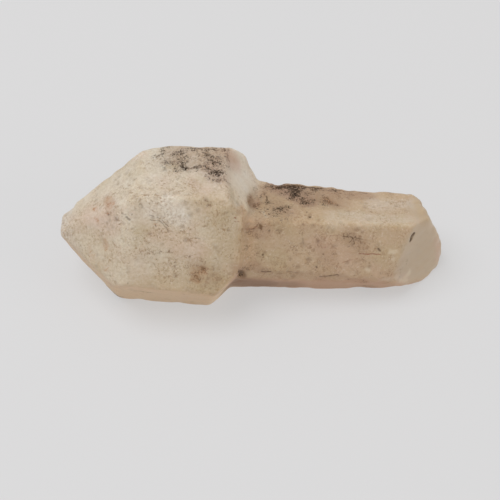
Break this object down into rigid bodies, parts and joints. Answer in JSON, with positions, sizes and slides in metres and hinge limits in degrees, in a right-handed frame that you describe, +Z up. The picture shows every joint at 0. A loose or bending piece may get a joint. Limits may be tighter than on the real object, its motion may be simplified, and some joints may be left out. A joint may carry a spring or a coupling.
{
  "type": "sceptre quartz crystal",
  "caption": "Natural sceptre quartz crystal lying on its side: a stout faceted head with a blunt point, grown on a thinner stem with a broken end.",
  "frame": {"origin": "on the ground, under the middle of the bounding box", "axes": "+X along the crystal from its tip towards its broken end, +Y away from the viewer, +Z up as it lies"},
  "size_m": [0.0806, 0.033, 0.0294],
  "materials": {
    "quartz": "frosted, milky quartz: matt, finely etched faces, cream on the head and warmer on the stem, with brown and black mineral stains"
  },
  "bodies": {
    "root": {"sceptre_crystal": "quartz"}
  },
  "joints": []
}
